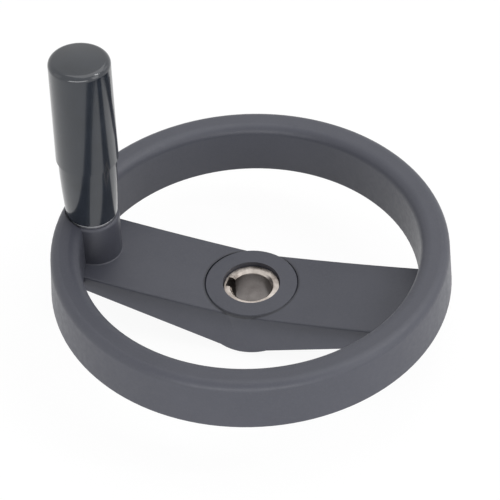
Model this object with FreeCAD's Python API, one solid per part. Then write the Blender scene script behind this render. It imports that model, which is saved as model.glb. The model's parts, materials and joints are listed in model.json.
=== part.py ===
import FreeCAD, Part
import math
import os

# Machine handwheel with a two-arm web and a revolving grip.
# +Z runs along the bore, the grip stands at -X, the origin is the bore's
# centre at the hub's lower face. Millimetres and degrees.

os.makedirs("parts", exist_ok=True)
Vec = FreeCAD.Vector

# rim
wheel_diameter = 160.0
rim_lift = 26.8            # lower outer edge of the rim above the hub's lower face
rim_height = 20.4
rim_width = 13.2           # from the inner wall's top out to the wheel's outside
rim_outer_draft = 2.2      # the outer wall leans in by this at the top
rim_inner_draft = 0.8      # the inner wall leans out by this at its foot
rim_inner_skirt = 4.2      # the inner wall hangs this far below the outer one
rim_crown_drop = 0.7       # inner top edge below the outer top edge
rim_outer_round = 3.4
rim_inner_round = 4.2
rim_foot_round = 0.8
rim_wall = 3.5
rim_roof = 4.2
rim_channel_round = 1.2
rim_rib_count = 24
rim_rib_thickness = 2.0
rim_rib_setback = 2.0

# web: two arms in one plate with skirts, open underneath
web_width_hub = 36.6       # across the top of the plate at the axis
web_width_rim = 37.8       # the same where it meets the rim
web_draft = 6.0            # lean of each side, wider towards its foot
web_hub_drop = 1.3         # top of the plate at the axis, below the hub's disc
web_rim_drop = 0.4         # top of the plate at the rim, below the rim's outer foot
web_dish = 0.5             # sag of the plate's top below a straight line
web_hub_foot = 0.9         # lower edge of the skirts at the axis, above the hub's foot
web_rim_foot = 2.4         # the same at the rim, below the foot of its inner wall
web_edge_round = 0.8
web_plate = 4.0
web_skirt = 3.2
web_rib_thickness = 2.2
web_rib_setback = 2.5
web_cross_rib_reach = 41.0 # cross rib's distance from the axis

# hub
hub_height = 20.8
hub_foot_diameter = 39.8
hub_foot_round = 0.8
hub_disc_diameter = 38.0   # flat top, sunk in the arms and proud beside them
hub_disc_chamfer = 0.6
hub_shoulder_drop = 2.0    # the hub's tapered outside ends this far below the plate's top
hub_recess = 2.0           # bush top below the disc
pocket_count = 8
pocket_wall = 2.6          # wall between a pocket and the hub's outside or the bush
pocket_rib = 3.0
pocket_depth = 11.0

# bush
bore_diameter = 16.0
bush_diameter = 23.2
bush_chamfer = 0.5
bore_chamfer = 0.9         # at the bore's top only: the shaft's shoulder seats below
key_width = 5.0
key_depth = 2.3            # keyway floor beyond the bore's wall
bush_groove_width = 2.4    # anchor groove round the bush, filled by the hub
bush_groove_depth = 0.8

# handle boss
handle_inset = 14.15       # grip axis from the wheel's outside, at the seat
handle_seat_drop = 2.24     # seat below the rim's top
handle_lean = 3.0          # the grip leans towards the wheel axis
boss_diameter = 22.0
boss_draft = 0.2           # the boss is wider by this at its foot, all round
boss_setback = 1.0         # boss foot above the lower edge of the rim's inner wall
boss_top_round = 1.2
boss_foot_round = 0.5
seat_clearance = 0.5       # room round the grip's foot where the rim is cut away
insert_diameter = 12.0
insert_length = 14.0
insert_groove_width = 1.6
insert_groove_depth = 0.6
key_hole_diameter = 9.0    # way in for the hexagon key from below

# spindle and ring
thread_diameter = 8.0
thread_relief = 0.02
stud_length = 13.0
socket_flats = 4.0
socket_depth = 5.0
collar_setback = 0.6       # collar inside the grip's foot
collar_height = 1.0
collar_chamfer = 0.3
spindle_diameter = 10.0
spindle_length = 60.0      # above the collar
spindle_chamfer = 0.8
running_clearance = 0.05
end_play = 0.3
ring_from_end = 7.0
ring_wire = 1.6
ring_seat = 0.8            # depth of the ring's groove in the spindle
ring_clearance = 0.2
ring_gap = 5.0
bore_end_gap = 1.5         # between the spindle's end and the grip's blind end

# grip
grip_length = 75.3
grip_foot_diameter = 20.7
grip_foot_round = 0.6
grip_waist_height = 28.3   # where the tapered foot ends
grip_waist_diameter = 22.75
grip_waist_step = 0.5      # height of the step out to the barrel
grip_foot_belly = 0.25      # the tapered foot swells by this at mid height
grip_barrel_diameter = 24.3
grip_top_diameter = 23.0
grip_top_round = 2.2
grip_crown = 0.9           # rise of the rounded end over its edge

overrun = 2.0              # how far cutting shapes run past what they cut

wheel_radius = wheel_diameter / 2
rim_top = rim_lift + rim_height
inner_top_radius = wheel_radius - rim_width
inner_foot_radius = inner_top_radius + rim_inner_draft
inner_foot_z = rim_lift - rim_inner_skirt
web_top_hub = hub_height - web_hub_drop
web_top_rim = rim_lift - web_rim_drop
web_foot_rim = inner_foot_z - web_rim_foot
hub_shoulder = web_top_hub - hub_shoulder_drop
handle_reach = wheel_radius - handle_inset
seat_height = rim_top - handle_seat_drop
spin = FreeCAD.Rotation(Vec(0, 1, 0), handle_lean)
handle_place = FreeCAD.Placement(Vec(-handle_reach, 0, seat_height), spin)


def point(r, z):
    return Vec(r, 0, z)


def line(a, b):
    return Part.LineSegment(a, b).toShape()


def unit(v):
    return v.multiply(1.0 / v.Length)


def rounded(corners):
    # closed outline in the XZ plane from (r, z, round) corners
    edges = []
    count = len(corners)
    ends = []
    for i in range(count):
        r, z, size = corners[i]
        here = point(r, z)
        if size == 0:
            ends.append((here, here, None))
            continue
        before = point(*corners[i - 1][:2])
        after = point(*corners[(i + 1) % count][:2])
        u = unit(before - here)
        v = unit(after - here)
        half = u.getAngle(v) / 2
        reach = size / math.tan(half)
        first = here + u * reach
        last = here + v * reach
        middle = unit(u + v)
        centre = here + middle * (size / math.sin(half))
        ends.append((first, last, centre - middle * size))
    for i in range(count):
        first, last, mid = ends[i]
        if mid is not None:
            edges.append(Part.Arc(first, mid, last).toShape())
        start = ends[(i + 1) % count][0]
        if (start - last).Length > 1e-6:
            edges.append(line(last, start))
    return Part.Wire(Part.__sortEdges__(edges))


def turned(corners):
    # solid of revolution about +Z
    face = Part.Face(rounded(corners))
    return face.revolve(Vec(0, 0, 0), Vec(0, 0, 1), 360)


def across(wire, width):
    # outline in the XZ plane pushed both ways along Y
    face = Part.Face(wire)
    face.translate(Vec(0, -width / 2, 0))
    return face.extrude(Vec(0, width, 0))


def tube_cut(radius, low, high):
    return Part.makeCylinder(radius, high - low, Vec(0, 0, low))


def at_handle(shape):
    moved = shape.copy()
    moved.Placement = handle_place.multiply(moved.Placement)
    return moved


def rim_ring():
    return turned([
        (inner_foot_radius, inner_foot_z, rim_foot_round),
        (wheel_radius, rim_lift, rim_foot_round),
        (wheel_radius - rim_outer_draft, rim_top, rim_outer_round),
        (inner_top_radius, rim_top - rim_crown_drop, rim_inner_round),
    ])


def rim_groove():
    # channel under the rim, split by radial ribs
    roof = rim_top - rim_crown_drop - rim_roof
    low = inner_foot_z - overrun
    inner = inner_foot_radius + rim_wall
    outer = wheel_radius - rim_wall
    channel = turned([
        (inner, low, 0),
        (outer, low, 0),
        (outer - rim_outer_draft, roof, rim_channel_round),
        (inner - rim_inner_draft, roof, rim_channel_round),
    ])
    for i in range(rim_rib_count):
        rib = Part.makeBox(
            rim_width + 2 * overrun, rim_rib_thickness, rim_height,
            Vec(inner_top_radius - overrun, -rim_rib_thickness / 2, rim_lift + rim_rib_setback))
        rib.rotate(Vec(0, 0, 0), Vec(0, 0, 1), (i + 0.5) * 360 / rim_rib_count)
        channel = channel.cut(rib)
    return channel


def plate_height(x):
    # top of the plate at a distance from the axis
    share = x / inner_top_radius
    straight = web_top_hub + (web_top_rim - web_top_hub) * share
    return straight - 4 * web_dish * share * (1 - share)


def plate_arc(side, drop, x_from, x_to):
    # curved top line of one arm between two distances from the axis
    mid = (x_from + x_to) / 2
    return Part.Arc(
        point(side * x_from, plate_height(x_from) - drop),
        point(side * mid, plate_height(mid) - drop),
        point(side * x_to, plate_height(x_to) - drop)).toShape()


def foot_height(x):
    return web_hub_foot + (web_foot_rim - web_hub_foot) * x / inner_top_radius


def arm_side(side, drop, low, x_from, x_to):
    # side view of one arm between two distances from the axis
    top = plate_arc(side, drop, x_from, x_to)
    ends = [vertex.Point for vertex in top.Vertexes]
    near = min(ends, key=lambda p: abs(p.x))
    far = max(ends, key=lambda p: abs(p.x))
    near_low = point(side * x_from, foot_height(x_from) - low)
    far_low = point(side * x_to, foot_height(x_to) - low)
    edges = [top, line(far, far_low), line(far_low, near_low), line(near_low, near)]
    return Part.Wire(Part.__sortEdges__(edges))


def web_plan(side, inset):
    # drafted plan of one arm
    length = wheel_radius + overrun
    slope = math.tan(math.radians(web_draft))

    def outline(z):
        hub_half = web_width_hub / 2 - inset + (web_top_hub - z) * slope
        rim_half = web_width_rim / 2 - inset + (web_top_rim - z) * slope
        return Part.makePolygon([
            Vec(0, -hub_half, z), Vec(side * length, -rim_half, z),
            Vec(side * length, rim_half, z), Vec(0, hub_half, z), Vec(0, -hub_half, z)])

    low = web_hub_foot - overrun
    high = max(web_top_rim, web_top_hub) + overrun
    return Part.makeLoft([outline(low), outline(high)], True)


def arm(side):
    wide = web_width_rim + web_width_hub
    whole = across(arm_side(side, 0, 0, 0, wheel_radius), wide)
    whole = whole.common(web_plan(side, 0))
    top_edges = []
    for edge in whole.Edges:
        ends = [vertex.Point for vertex in edge.Vertexes]
        on_top = all(abs(p.z - plate_height(abs(p.x))) < 0.01 for p in ends)
        along = abs(ends[0].x - ends[-1].x) > inner_top_radius
        if on_top and along:
            top_edges.append(edge)
    whole = whole.makeFillet(web_edge_round, top_edges)
    # the arm ends in the rim's inner wall and leaves room for the hub's disc
    whole = whole.common(tube_cut(inner_foot_radius + rim_wall, -hub_height, rim_top))
    return whole.cut(tube_cut(hub_disc_diameter / 2, hub_shoulder, rim_top))


def arm_core(side):
    # hollow between the skirts, from the hub to the rim's inner wall
    hub_wall = hub_foot_diameter / 2
    near = hub_wall / 2
    far = inner_top_radius + overrun
    core = across(arm_side(side, web_plate, hub_height, near, far), 2 * web_width_rim)
    core = core.common(web_plan(side, web_skirt))
    ring = tube_cut(inner_foot_radius, -hub_height, rim_top)
    ring = ring.cut(tube_cut(hub_wall, -hub_height, rim_top))
    core = core.common(ring)
    middle = web_cross_rib_reach
    half = web_rib_thickness / 2
    long_rib = across(arm_side(side, 0, -web_rib_setback, 0, wheel_radius),
                      web_rib_thickness)
    cross_rib = across(
        arm_side(side, 0, -web_rib_setback, middle - half, middle + half), web_width_rim)
    return core.cut(long_rib).cut(cross_rib)


def hub():
    foot = hub_foot_diameter / 2
    disc = hub_disc_diameter / 2
    return turned([
        (0, 0, 0),
        (foot, 0, hub_foot_round),
        (disc, hub_shoulder, 0),
        (disc, hub_height - hub_disc_chamfer, 0),
        (disc - hub_disc_chamfer, hub_height, 0),
        (0, hub_height, 0),
    ])


def hub_pockets():
    inner = bush_diameter / 2 + pocket_wall
    outer = hub_foot_diameter / 2 - pocket_wall
    ring = tube_cut(outer, -overrun, pocket_depth)
    ring = ring.cut(tube_cut(inner, -2 * overrun, pocket_depth + overrun))
    for i in range(pocket_count):
        rib = Part.makeBox(outer + overrun, pocket_rib, pocket_depth + 2 * overrun,
                           Vec(0, -pocket_rib / 2, -overrun))
        rib.rotate(Vec(0, 0, 0), Vec(0, 0, 1), i * 360 / pocket_count)
        ring = ring.cut(rib)
    return ring


boss_depth = (seat_height - inner_foot_z - boss_setback) / math.cos(math.radians(handle_lean))


def boss():
    top = boss_diameter / 2
    return turned([
        (0, -boss_depth, 0),
        (top + boss_draft, -boss_depth, 0),
        (top, 0, boss_top_round),
        (0, 0, 0),
    ])


def boss_foot_edges(body):
    # where the boss stands on the plate, inside the rim
    axis = spin.multVec(Vec(0, 0, 1))
    base = Vec(-handle_reach, 0, seat_height)
    found = []
    for edge in body.Edges:
        middle = edge.valueAt((edge.FirstParameter + edge.LastParameter) / 2)
        down = (base - middle).dot(axis)
        wall = boss_diameter / 2 + boss_draft * down / boss_depth
        on_boss = abs(middle.distanceToLine(base, axis) - wall) < 0.05
        on_plate = abs(middle.z - plate_height(abs(middle.x))) < 0.5
        if on_boss and on_plate and math.hypot(middle.x, middle.y) < inner_top_radius:
            found.append(edge)
    return found


def wheel_body():
    body = rim_ring()
    for side in (-1, 1):
        body = body.fuse(arm(side))
    body = body.fuse(hub())
    for side in (-1, 1):
        core = arm_core(side)
        if side < 0:
            core = core.cut(at_handle(boss()))
        body = body.cut(core)
    body = body.cut(rim_groove().cut(at_handle(boss())))
    body = body.fuse(at_handle(boss())).removeSplitter()
    body = body.makeFillet(boss_foot_round, boss_foot_edges(body))
    body = body.cut(hub_pockets())
    # seat for the grip, cut into the rim's top
    seat_radius = grip_foot_diameter / 2 + seat_clearance
    room = tube_cut(seat_radius, 0, rim_height)
    body = body.cut(at_handle(room))
    body = body.cut(at_handle(insert_blank()))
    body = body.cut(at_handle(tube_cut(key_hole_diameter / 2, -2 * boss_depth, 0)))
    body = body.cut(bush_blank())
    body = body.cut(tube_cut(bush_diameter / 2, hub_height - hub_recess - overrun,
                             hub_height + overrun))
    return body.removeSplitter()


def grooved(radius, low, high, width, depth):
    # cylinder with one groove round its middle
    middle = (low + high) / 2
    ring = tube_cut(radius + 1, middle - width / 2, middle + width / 2)
    ring = ring.cut(tube_cut(radius - depth, low - 1, high + 1))
    return tube_cut(radius, low, high).cut(ring)


def bush_blank():
    return grooved(bush_diameter / 2, 0, hub_height - hub_recess,
                   bush_groove_width, bush_groove_depth)


def hub_bush():
    top = hub_height - hub_recess
    bore = bore_diameter / 2
    body = bush_blank()
    body = body.cut(turned([
        (0, -overrun, 0),
        (bore, -overrun, 0),
        (bore, top - bore_chamfer, 0),
        (bore + bore_chamfer + overrun, top + overrun, 0),
        (0, top + overrun, 0),
    ]))
    keyway = Part.makeBox(bore + key_depth, key_width, top + 2 * overrun,
                          Vec(-bore - key_depth, -key_width / 2, -overrun))
    body = body.cut(keyway)
    # the top outer corner is taken off
    outside = bush_diameter / 2
    return body.cut(turned([
        (outside - bush_chamfer, top, 0),
        (outside + overrun, top - bush_chamfer - overrun, 0),
        (outside + overrun, top + overrun, 0),
        (outside - bush_chamfer, top + overrun, 0),
    ]))


def insert_blank():
    return grooved(insert_diameter / 2, -insert_length, 0,
                   insert_groove_width, insert_groove_depth)


def thread_insert():
    hole = tube_cut(thread_diameter / 2, -insert_length - overrun, overrun)
    return at_handle(insert_blank().cut(hole))


ring_mid = collar_height + spindle_length - ring_from_end
ring_core = spindle_diameter / 2 - ring_seat + ring_wire / 2


def handle_spindle():
    stud = thread_diameter / 2 - thread_relief
    shaft = spindle_diameter / 2
    collar = grip_foot_diameter / 2 - collar_setback
    end = collar_height + spindle_length
    body = turned([
        (0, -stud_length, 0),
        (stud - spindle_chamfer, -stud_length, 0),
        (stud, -stud_length + spindle_chamfer, 0),
        (stud, 0, 0),
        (collar, 0, 0),
        (collar, collar_height - collar_chamfer, 0),
        (collar - collar_chamfer, collar_height, 0),
        (shaft, collar_height, 0),
        (shaft, end - spindle_chamfer, 0),
        (shaft - spindle_chamfer, end, 0),
        (0, end, 0),
    ])
    half = ring_wire / 2
    groove = tube_cut(shaft + overrun, ring_mid - half, ring_mid + half)
    groove = groove.cut(tube_cut(shaft - ring_seat, ring_mid - ring_wire, ring_mid + ring_wire))
    body = body.cut(groove)
    across_corners = socket_flats / math.cos(math.radians(30))
    corners = []
    for i in range(7):
        turn = math.radians(60 * i)
        corners.append(Vec(across_corners / 2 * math.cos(turn),
                           across_corners / 2 * math.sin(turn), -stud_length - overrun))
    socket = Part.Face(Part.makePolygon(corners)).extrude(Vec(0, 0, socket_depth + overrun))
    return at_handle(body.cut(socket))


def snap_ring():
    # round wire in the spindle's groove, open on one side
    wire = Part.makeTorus(ring_core, ring_wire / 2, Vec(0, 0, ring_mid))
    gap = Part.makeBox(ring_core * 2, ring_gap, ring_wire * 2,
                       Vec(0, -ring_gap / 2, ring_mid - ring_wire))
    return at_handle(wire.cut(gap))


def grip_outline(foot, edge_height):
    # foot with a swelling taper, step at the waist, straight barrel, flat end
    low = grip_foot_diameter / 2
    waist = grip_waist_diameter / 2
    step = foot + grip_waist_height
    start = point(low, foot + grip_foot_round)
    end = point(waist, step - grip_waist_step / 2)
    middle = (start + end) / 2 + point(grip_foot_belly, 0)
    round_mid = grip_foot_round * (1 - math.sqrt(0.5))
    corners = [end, point(grip_barrel_diameter / 2, step + grip_waist_step / 2),
               point(grip_top_diameter / 2, edge_height), point(0, edge_height), point(0, foot),
               point(low - grip_foot_round, foot)]
    edges = [
        Part.Arc(point(low - grip_foot_round, foot),
                 point(low - round_mid, foot + round_mid), start).toShape(),
        Part.Arc(start, middle, end).toShape(),
    ]
    for i in range(len(corners) - 1):
        edges.append(line(corners[i], corners[i + 1]))
    return Part.Wire(Part.__sortEdges__(edges))


def grip():
    foot = collar_height + end_play
    top = foot + grip_length
    face = Part.Face(grip_outline(foot, top + overrun))
    body = face.revolve(Vec(0, 0, 0), Vec(0, 0, 1), 360)
    # crowned end: a ball whose cap rises over the barrel's edge
    edge = grip_top_diameter / 2
    ball = (edge ** 2 + grip_crown ** 2) / (2 * grip_crown)
    body = body.common(Part.makeSphere(ball, Vec(0, 0, top - ball)))
    rim_edges = []
    for candidate in body.Edges:
        box = candidate.BoundBox
        if box.ZMax - box.ZMin < 0.01 and abs(box.ZMax - top + grip_crown) < grip_crown / 2:
            rim_edges.append(candidate)
    body = body.makeFillet(grip_top_round, rim_edges)
    bore = spindle_diameter / 2 + running_clearance
    depth = collar_height + spindle_length + bore_end_gap
    body = body.cut(turned([
        (0, foot - overrun, 0),
        (bore, foot - overrun, 0),
        (bore, depth, 0),
        (0, depth, 0),
    ]))
    half = ring_wire / 2 + ring_clearance
    reach = ring_core + ring_wire / 2 + ring_clearance
    return at_handle(body.cut(tube_cut(reach, ring_mid - half, ring_mid + half)))


def save(name, shape):
    solids = shape.Solids
    print(name, "solids", len(solids), "valid", shape.isValid(), "volume", round(shape.Volume, 1))
    solids[0].exportStep("parts/" + name + ".step")


save("wheel_body", wheel_body())
save("hub_bush", hub_bush())
save("thread_insert", thread_insert())
save("handle_spindle", handle_spindle())
save("snap_ring", snap_ring())
save("grip", grip())
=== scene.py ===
import bpy
import json
import math
from mathutils import Matrix, Vector

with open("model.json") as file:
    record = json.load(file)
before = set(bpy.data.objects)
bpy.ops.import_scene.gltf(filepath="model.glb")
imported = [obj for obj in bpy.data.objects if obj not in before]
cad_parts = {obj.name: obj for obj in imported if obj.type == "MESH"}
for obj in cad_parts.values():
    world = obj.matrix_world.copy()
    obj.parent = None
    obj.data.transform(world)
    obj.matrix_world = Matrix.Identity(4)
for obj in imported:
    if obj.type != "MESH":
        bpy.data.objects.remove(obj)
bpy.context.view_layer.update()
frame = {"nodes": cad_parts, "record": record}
nodes = frame["nodes"]
print("frame in:", ", ".join(sorted(nodes)))

scene = bpy.context.scene
scene.view_settings.view_transform = "Standard"

mmPerMetre = 1000                  # sizes whose names end in Mm are millimetres, the others metres
white = (1, 1, 1, 1)

# the photograph's camera, in degrees, metres and pixels of a 500 pixel frame
cameraSet = {
    "aim": (0.0, 0.0, 0.0268),     # on the wheel's axis, level with the rim's outer foot
    "turn": 17.471,
    "lift": 44.765,
    "roll": -2.5625,
    "distance": 0.5579,
    "focalPixels": 1389.75,
    "framePixels": 500.0,
    "aimPixel": (250.95, 271.6),
    "sensorMm": 36.0,
}


def placeCamera(s):
    turn, lift, roll = (math.radians(s[k]) for k in ("turn", "lift", "roll"))
    back = Vector((math.sin(turn) * math.cos(lift), -math.cos(turn) * math.cos(lift),
                   math.sin(lift)))
    side = Vector((math.cos(turn), math.sin(turn), 0))
    up = back.cross(side)
    right = side * math.cos(roll) + up * math.sin(roll)
    up = back.cross(right)
    data = bpy.data.cameras.new("photoCamera")
    data.sensor_width = s["sensorMm"]
    data.lens = s["focalPixels"] / s["framePixels"] * s["sensorMm"]
    half = s["framePixels"] / 2
    data.shift_x = (half - s["aimPixel"][0]) / s["framePixels"]
    data.shift_y = (s["aimPixel"][1] - half) / s["framePixels"]
    camera = bpy.data.objects.new("photoCamera", data)
    place = Matrix((right, up, back)).transposed().to_4x4()
    place.translation = Vector(s["aim"]) + back * s["distance"]
    camera.matrix_world = place
    scene.collection.objects.link(camera)
    scene.camera = camera


placeCamera(cameraSet)
print("camera placed")

studioSet = {
    "floorSize": 3.0,
    "floorHeight": -0.0004,
    "paperColour": (0.9, 0.9, 0.9, 1),
    "paperGlow": 1.03,
    "paperShare": 0.9,             # how much of the seen floor is glow, the rest keeps the shadow
    "airGlow": 0.54,               # what lights the part
    "backdropGlow": 1.0,           # what the eye and reflections see
}


def seenRay(tree):
    # 1 where the eye, a mirror or glass looks straight at the backdrop
    path = tree.nodes.new("ShaderNodeLightPath")
    seen = path.outputs["Is Camera Ray"]
    for name in ("Is Glossy Ray", "Is Transmission Ray"):
        either = tree.nodes.new("ShaderNodeMath")
        either.operation = "MAXIMUM"
        tree.links.new(seen, either.inputs[0])
        tree.links.new(path.outputs[name], either.inputs[1])
        seen = either.outputs[0]
    return seen


def makeFloor(s):
    bpy.ops.mesh.primitive_plane_add(size=s["floorSize"], location=(0, 0, 0))
    floor = bpy.context.object
    floor.name = "studioFloor"
    floor.location.z = s["floorHeight"]
    mat = bpy.data.materials.new("paperFloor")
    mat.use_nodes = True
    tree = mat.node_tree
    tree.nodes.clear()
    out = tree.nodes.new("ShaderNodeOutputMaterial")
    mix = tree.nodes.new("ShaderNodeMixShader")
    paper = tree.nodes.new("ShaderNodeBsdfDiffuse")
    paper.inputs["Color"].default_value = s["paperColour"]
    glow = tree.nodes.new("ShaderNodeEmission")
    glow.inputs["Strength"].default_value = s["paperGlow"]
    share = tree.nodes.new("ShaderNodeMath")
    share.operation = "MULTIPLY"
    share.inputs[1].default_value = s["paperShare"]
    tree.links.new(seenRay(tree), share.inputs[0])
    tree.links.new(share.outputs[0], mix.inputs[0])
    tree.links.new(paper.outputs[0], mix.inputs[1])
    tree.links.new(glow.outputs[0], mix.inputs[2])
    tree.links.new(mix.outputs[0], out.inputs[0])
    floor.data.materials.append(mat)


def makeAir(s):
    world = bpy.data.worlds.new("studioAir")
    world.use_nodes = True
    tree = world.node_tree
    air = tree.nodes["Background"]
    air.inputs["Color"].default_value = white
    air.inputs["Strength"].default_value = s["airGlow"]
    backdrop = tree.nodes.new("ShaderNodeBackground")
    backdrop.inputs["Color"].default_value = white
    backdrop.inputs["Strength"].default_value = s["backdropGlow"]
    mix = tree.nodes.new("ShaderNodeMixShader")
    tree.links.new(seenRay(tree), mix.inputs[0])
    tree.links.new(air.outputs[0], mix.inputs[1])
    tree.links.new(backdrop.outputs[0], mix.inputs[2])
    tree.links.new(mix.outputs[0], tree.nodes["World Output"].inputs["Surface"])
    scene.world = world


makeFloor(studioSet)
makeAir(studioSet)

# soft boxes: watts, then width and height, place and aim in metres
lampSet = {
    "topBox": {
        "power": 5.0, "size": (1.2, 1.2), "place": (0.2, 0.3, 1.2), "aim": (0, 0, 0.03)},
    "frontStrip": {
        "power": 5.4, "size": (1.4, 0.25), "place": (0.25, -1.1, 0.16), "aim": (0, 0, 0.03)},
    "rightBox": {
        "power": 2.0, "size": (0.5, 0.9), "place": (1.1, -0.3, 0.4), "aim": (0, 0, 0.03)},
    "backRightBox": {
        "power": 0.9, "size": (0.6, 0.8), "place": (0.9, 0.8, 0.8), "aim": (0, 0, 0.03)},
    "leftBox": {
        "power": 0.4, "size": (0.5, 0.9), "place": (-1.0, -0.5, 0.5), "aim": (0, 0, 0.05)},
    "streakStrip": {               # the bright streak down the grip
        "power": 2.2, "size": (0.12, 0.45), "place": (0.89, 0.13, 1.05), "aim": (0, 0, 0.1)},
}


def placeLamp(name, s):
    data = bpy.data.lights.new(name, "AREA")
    data.energy = s["power"]
    data.shape = "RECTANGLE"
    data.size, data.size_y = s["size"]
    lamp = bpy.data.objects.new(name, data)
    lamp.location = s["place"]
    away = Vector(s["place"]) - Vector(s["aim"])
    lamp.rotation_euler = away.to_track_quat("Z", "Y").to_euler()
    scene.collection.objects.link(lamp)


for lampName, lampSizes in lampSet.items():
    placeLamp(lampName, lampSizes)
print("studio lit")

# the handle's own axis, for patterns that are turned about it
spinJoint = frame["record"]["behaviour"]["joints"][0]
handleSeat = Vector(spinJoint["pos_m"])
handleAxis = Vector(spinJoint["axis"])
handleLean = math.atan2(handleAxis.x, handleAxis.z)

noiseLow, noiseHigh = 0.3, 0.7     # most values of a noise lie between these
waveLength = math.tau / 20         # of Blender's wave texture at a scale of 1


def startMat(name, plain):
    mat = bpy.data.materials.new(name)
    mat.use_nodes = True
    skin = mat.node_tree.nodes["Principled BSDF"]
    for socket, value in plain.items():
        skin.inputs[socket].default_value = value
    return mat, mat.node_tree, skin


def objectSpot(tree):
    return tree.nodes.new("ShaderNodeTexCoord").outputs["Object"]


def handleSpot(tree):
    # the spot measured from the handle's seat along its leaning axis
    turn = tree.nodes.new("ShaderNodeMapping")
    turn.vector_type = "TEXTURE"
    turn.inputs["Location"].default_value = handleSeat
    turn.inputs["Rotation"].default_value = (0, handleLean, 0)
    tree.links.new(objectSpot(tree), turn.inputs["Vector"])
    return turn.outputs["Vector"]


def stretched(tree, spot, sizes):
    scaled = tree.nodes.new("ShaderNodeMapping")
    scaled.inputs["Scale"].default_value = sizes
    tree.links.new(spot, scaled.inputs["Vector"])
    return scaled.outputs["Vector"]


def cloud(tree, spot, grainMm, detail):
    noise = tree.nodes.new("ShaderNodeTexNoise")
    noise.inputs["Scale"].default_value = mmPerMetre / grainMm
    noise.inputs["Detail"].default_value = detail
    tree.links.new(spot, noise.inputs["Vector"])
    return noise.outputs[0]


def wave(tree, spot, kind, pitchMm, wobble, profile="SIN"):
    # rings about Z or bands along it, one every pitch
    rings = tree.nodes.new("ShaderNodeTexWave")
    rings.wave_type = kind
    rings.rings_direction = "Z"
    rings.bands_direction = "Z"
    rings.wave_profile = profile
    rings.inputs["Scale"].default_value = waveLength * mmPerMetre / pitchMm
    rings.inputs["Distortion"].default_value = wobble
    tree.links.new(spot, rings.inputs["Vector"])
    return rings.outputs["Fac"]


def spread(tree, value, low, high, fromLow=noiseLow, fromHigh=noiseHigh):
    span = tree.nodes.new("ShaderNodeMapRange")
    tree.links.new(value, span.inputs["Value"])
    span.inputs["From Min"].default_value = fromLow
    span.inputs["From Max"].default_value = fromHigh
    span.inputs["To Min"].default_value = low
    span.inputs["To Max"].default_value = high
    return span.outputs[0]


def rising(tree, value, limitsMm):
    # 0 up to the first limit, 1 from the second
    first, second = (limit / mmPerMetre for limit in limitsMm)
    return spread(tree, value, 0, 1, first, second)


def falling(tree, value, limitsMm):
    # 1 up to the first limit, 0 from the second
    first, second = (limit / mmPerMetre for limit in limitsMm)
    return spread(tree, value, 1, 0, first, second)


def tint(tree, value, dark, light):
    ramp = tree.nodes.new("ShaderNodeValToRGB")
    ramp.color_ramp.elements[0].color = (*dark, 1)
    ramp.color_ramp.elements[1].color = (*light, 1)
    ramp.color_ramp.elements[0].position = noiseLow
    ramp.color_ramp.elements[1].position = noiseHigh
    tree.links.new(value, ramp.inputs[0])
    return ramp.outputs[0]


def blend(tree, share, first, second):
    # sockets 6 and 7 and output 2 are the ones for colours
    mixed = tree.nodes.new("ShaderNodeMix")
    mixed.data_type = "RGBA"
    tree.links.new(share, mixed.inputs[0])
    tree.links.new(first, mixed.inputs[6])
    tree.links.new(second, mixed.inputs[7])
    return mixed.outputs[2]


def times(tree, first, second):
    product = tree.nodes.new("ShaderNodeMath")
    product.operation = "MULTIPLY"
    tree.links.new(first, product.inputs[0])
    tree.links.new(second, product.inputs[1])
    return product.outputs[0]


def relief(tree, height, deepMm, strength, below=None):
    bump = tree.nodes.new("ShaderNodeBump")
    bump.inputs["Strength"].default_value = strength
    bump.inputs["Distance"].default_value = deepMm / mmPerMetre
    tree.links.new(height, bump.inputs["Height"])
    if below is not None:
        tree.links.new(below, bump.inputs["Normal"])
    return bump.outputs[0]


def outFromAxis(tree, spot):
    # distance from the piece's axis, and the height along it, in metres
    parts = tree.nodes.new("ShaderNodeSeparateXYZ")
    tree.links.new(spot, parts.inputs[0])
    flat = tree.nodes.new("ShaderNodeCombineXYZ")
    tree.links.new(parts.outputs["X"], flat.inputs["X"])
    tree.links.new(parts.outputs["Y"], flat.inputs["Y"])
    far = tree.nodes.new("ShaderNodeVectorMath")
    far.operation = "LENGTH"
    tree.links.new(flat.outputs[0], far.inputs[0])
    return far.outputs["Value"], parts.outputs["Z"]


def bareMetal(tree, skin, spot, s):
    # tone and gloss drift together
    haze = cloud(tree, spot, s["cloudMm"], s["cloudDetail"])
    tree.links.new(tint(tree, haze, s["dark"], s["light"]), skin.inputs["Base Color"])
    tree.links.new(spread(tree, haze, *s["rough"]), skin.inputs["Roughness"])


wheelSet = {
    "dark": (0.0555, 0.0580, 0.0745),
    "light": (0.0690, 0.0715, 0.0905),
    "rough": (0.40, 0.50),
    "ior": 1.5,
    "cloudMm": 22.0,               # slow change of tone over the moulding
    "cloudDetail": 2,
    "fleckMm": 0.7,
    "fleckDetail": 3,
    "shareDetail": 1,              # of the noise that mixes cloud and fleck
    "glossMm": 2.1,
    "glossDetail": 3,
    "flowMm": 5.0,                 # faint streaks along the flow of the melt
    "flowDetail": 2,
    "flowStretch": (0.35, 1, 1),
    "flowDeepMm": 0.03,
    "flowStrength": 0.3,
    "grainMm": 0.16,
    "grainDetail": 2,
    "grainDeepMm": 0.012,
    "grainStrength": 0.5,
    # colours of the painted shade in the corner round the hub's face
    "shadeDark": (0.020, 0.021, 0.028),
    "shadeLight": (0.036, 0.038, 0.048),
    "shadeInMm": (18.3, 18.9),     # painted shade in the corner round the hub's face
    "shadeOutMm": (19.2, 19.9),
    "shadeFootMm": (18.9, 19.3),   # above the hub's shoulder only
}


def hubCornerShade(tree, spot, s):
    # where the shade is painted: 1 in the corner round the hub's face, 0 elsewhere
    far, height = outFromAxis(tree, spot)
    band = times(tree, rising(tree, far, s["shadeInMm"]), falling(tree, far, s["shadeOutMm"]))
    return times(tree, band, rising(tree, height, s["shadeFootMm"]))


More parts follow.
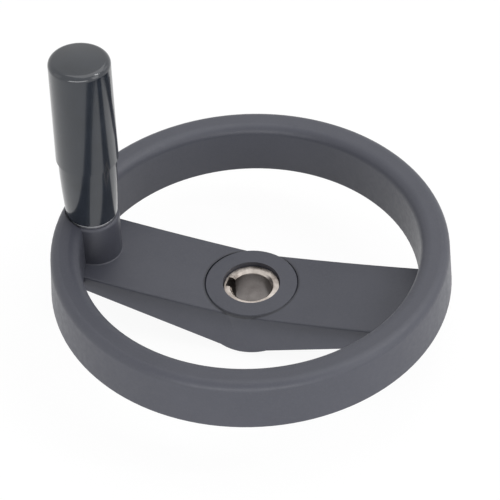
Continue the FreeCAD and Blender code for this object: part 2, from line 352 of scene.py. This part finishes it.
def mouldedNylon(s):
    mat, tree, skin = startMat("mouldedNylon", {"IOR": s["ior"]})
    spot = objectSpot(tree)
    mottle = tint(tree, cloud(tree, spot, s["cloudMm"], s["cloudDetail"]), s["dark"], s["light"])
    fleckCloud = cloud(tree, spot, s["fleckMm"], s["fleckDetail"])
    fleck = tint(tree, fleckCloud, s["dark"], s["light"])
    plastic = blend(tree, cloud(tree, spot, s["fleckMm"], s["shareDetail"]), mottle, fleck)
    # painted shade in the corner round the hub's face, flecked like the plastic
    paintedShade = tint(tree, fleckCloud, s["shadeDark"], s["shadeLight"])
    tree.links.new(blend(tree, hubCornerShade(tree, spot, s), plastic, paintedShade),
                   skin.inputs["Base Color"])
    gloss = cloud(tree, spot, s["glossMm"], s["glossDetail"])
    tree.links.new(spread(tree, gloss, *s["rough"]), skin.inputs["Roughness"])
    flow = cloud(tree, stretched(tree, spot, s["flowStretch"]), s["flowMm"], s["flowDetail"])
    streaks = relief(tree, flow, s["flowDeepMm"], s["flowStrength"])
    grain = relief(tree, cloud(tree, spot, s["grainMm"], s["grainDetail"]),
                   s["grainDeepMm"], s["grainStrength"], streaks)
    tree.links.new(grain, skin.inputs["Normal"])
    return mat


gripSet = {
    "dark": (0.0120, 0.0160, 0.0225),
    "light": (0.0182, 0.0230, 0.0320),
    "rough": (0.13, 0.20),
    "ior": 1.58,
    "coat": 0.25,
    "coatRough": 0.05,
    "cloudMm": 9.0,
    "cloudDetail": 3,
    "scratchMm": 0.5,              # fine rubbed lines along the grip
    "scratchDetail": 4,
    "scratchStretch": (1, 1, 0.06),
    "waveMm": 14.0,                # slight waves left by polishing
    "waveDetail": 1,
    "waveDeepMm": 0.05,
    "waveStrength": 0.35,
}


def polishedBlack(s):
    mat, tree, skin = startMat("polishedBlack", {
        "IOR": s["ior"], "Coat Weight": s["coat"], "Coat Roughness": s["coatRough"]})
    spot = handleSpot(tree)
    tone = cloud(tree, spot, s["cloudMm"], s["cloudDetail"])
    tree.links.new(tint(tree, tone, s["dark"], s["light"]), skin.inputs["Base Color"])
    rub = cloud(tree, stretched(tree, spot, s["scratchStretch"]),
                s["scratchMm"], s["scratchDetail"])
    tree.links.new(spread(tree, rub, *s["rough"]), skin.inputs["Roughness"])
    soft = relief(tree, cloud(tree, spot, s["waveMm"], s["waveDetail"]),
                  s["waveDeepMm"], s["waveStrength"])
    tree.links.new(soft, skin.inputs["Normal"])
    return mat


bushSet = {
    "bright": (0.68, 0.62, 0.57),
    "worn": (0.27, 0.235, 0.21),
    # colours of the painted shade inside the bush
    "boreShadeDark": (0.150, 0.135, 0.130),
    "boreShadeLight": (0.260, 0.240, 0.230),
    "rough": (0.26, 0.40),
    "stainMm": 4.5,
    "stainDetail": 4,
    "glossMm": 2.25,
    "glossDetail": 3,
    "shadeTopMm": (17.3, 17.9),     # the painted shade down the inside of the bush ends here
    "boreEdgeMm": (8.05, 8.35),
    "ringPitchMm": 0.22,           # tool marks of the facing cut
    "ringWobble": 0.4,
    "ringDeepMm": 0.006,
    "ringStrength": 0.6,
    "borePitchMm": 0.35,
    "boreWobble": 0.6,
    "boreStrength": 0.4,
}


def turnedBush(s):
    mat, tree, skin = startMat("turnedBush", {"Metallic": 1.0})
    spot = objectSpot(tree)
    far, height = outFromAxis(tree, spot)
    stain = cloud(tree, spot, s["stainMm"], s["stainDetail"])
    face = tint(tree, stain, s["worn"], s["bright"])
    # painted shade down the inside of the bush, below its face
    boreShade = tint(tree, stain, s["boreShadeDark"], s["boreShadeLight"])
    tree.links.new(blend(tree, rising(tree, height, s["shadeTopMm"]), boreShade, face),
                   skin.inputs["Base Color"])
    gloss = cloud(tree, spot, s["glossMm"], s["glossDetail"])
    tree.links.new(spread(tree, gloss, *s["rough"]), skin.inputs["Roughness"])
    rings = wave(tree, spot, "RINGS", s["ringPitchMm"], s["ringWobble"])
    facing = times(tree, rings, rising(tree, far, s["boreEdgeMm"]))
    marks = relief(tree, facing, s["ringDeepMm"], s["ringStrength"])
    bands = wave(tree, spot, "BANDS", s["borePitchMm"], s["boreWobble"])
    boring = relief(tree, bands, s["ringDeepMm"], s["boreStrength"], marks)
    tree.links.new(boring, skin.inputs["Normal"])
    return mat


threadSet = {
    "pitchMm": 1.25,
    "deepMm": 0.6,
    "strength": 1.0,
}


def threadCut(tree, spot, share, s):
    # the thread that the plain stud and insert stand in for, where share is 1
    turns = wave(tree, spot, "BANDS", s["pitchMm"], 0, "TRI")
    return relief(tree, times(tree, turns, share), s["deepMm"], s["strength"])


spindleSet = {
    "dark": (0.31, 0.315, 0.33),
    "light": (0.42, 0.425, 0.44),
    "rough": (0.42, 0.56),
    "cloudMm": 4.0,
    "cloudDetail": 3,
    "threadTopMm": (-0.6, -0.4),   # the stud hangs below the seat
    "turnMm": 0.25,
    "turnWobble": 0.5,
    "turnDeepMm": 0.004,
    "turnStrength": 0.4,
}


def platedSteel(s):
    mat, tree, skin = startMat("platedSteel", {"Metallic": 1.0})
    spot = handleSpot(tree)
    height = outFromAxis(tree, spot)[1]
    bareMetal(tree, skin, spot, s)
    cut = threadCut(tree, spot, falling(tree, height, s["threadTopMm"]), threadSet)
    lines = wave(tree, spot, "BANDS", s["turnMm"], s["turnWobble"])
    turned = relief(tree, lines, s["turnDeepMm"], s["turnStrength"], cut)
    tree.links.new(turned, skin.inputs["Normal"])
    return mat


insertSet = {
    "dark": (0.52, 0.37, 0.15),
    "light": (0.72, 0.55, 0.27),
    "rough": (0.24, 0.38),
    "cloudMm": 2.5,
    "cloudDetail": 3,
    "boreMm": (4.1, 4.3),          # the thread is inside this radius
}


def plainBrass(s):
    mat, tree, skin = startMat("plainBrass", {"Metallic": 1.0})
    spot = handleSpot(tree)
    far = outFromAxis(tree, spot)[0]
    bareMetal(tree, skin, spot, s)
    tree.links.new(threadCut(tree, spot, falling(tree, far, s["boreMm"]), threadSet),
                   skin.inputs["Normal"])
    return mat


ringSet = {
    "dark": (0.20, 0.20, 0.21),
    "light": (0.36, 0.36, 0.37),
    "rough": (0.28, 0.42),
    "cloudMm": 1.6,
    "cloudDetail": 3,
    "drawMm": 0.2,                 # lines left by drawing the wire
    "drawWobble": 0.5,
    "drawDeepMm": 0.004,
    "drawStrength": 0.4,
}


def springWire(s):
    mat, tree, skin = startMat("springWire", {"Metallic": 1.0})
    spot = handleSpot(tree)
    bareMetal(tree, skin, spot, s)
    lines = wave(tree, spot, "BANDS", s["drawMm"], s["drawWobble"])
    tree.links.new(relief(tree, lines, s["drawDeepMm"], s["drawStrength"]),
                   skin.inputs["Normal"])
    return mat


finishes = {
    "wheel_body": mouldedNylon(wheelSet),
    "grip": polishedBlack(gripSet),
    "hub_bush": turnedBush(bushSet),
    "handle_spindle": platedSteel(spindleSet),
    "thread_insert": plainBrass(insertSet),
    "snap_ring": springWire(ringSet),
}
for nodeName, finish in finishes.items():
    for slot in nodes[nodeName].material_slots:
        slot.material = finish
print("finishes on:", ", ".join(sorted(finishes)))
